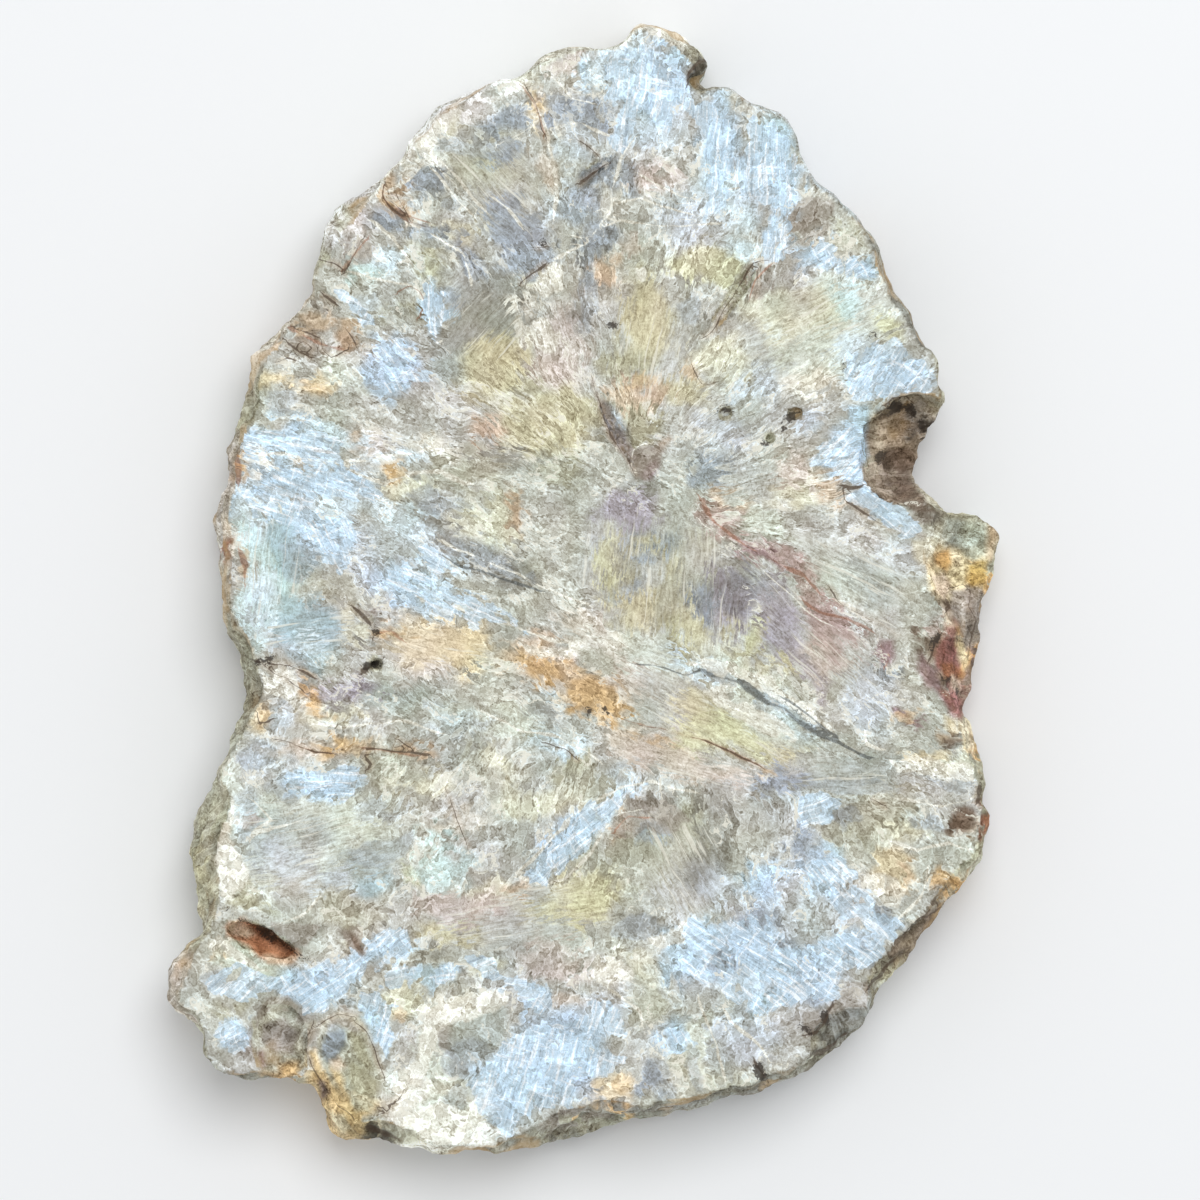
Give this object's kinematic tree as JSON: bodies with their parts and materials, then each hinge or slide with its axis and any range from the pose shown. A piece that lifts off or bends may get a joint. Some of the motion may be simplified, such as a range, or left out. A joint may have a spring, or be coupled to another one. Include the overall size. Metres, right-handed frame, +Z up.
{
  "type": "petrified wood slice",
  "caption": "Thick cross-cut slice of petrified wood with a sawn mottled face, a sawn back and a rough bark-like rind that is hollowed at the edge.",
  "frame": {"origin": "middle of the slice's outline box, on the surface that the slice lies on", "axes": "+Z up, out of the sawn front face; +Y along the slice's length towards its pointed end; +X to the right as seen from the front"},
  "size_m": [0.1582, 0.215, 0.028],
  "materials": {
    "stone": "matte sawn face mottled cream, grey-green, ochre and blue-white, with a rough khaki and rust rind"
  },
  "bodies": {
    "root": {"petrified_wood_slice": "stone"}
  },
  "joints": []
}
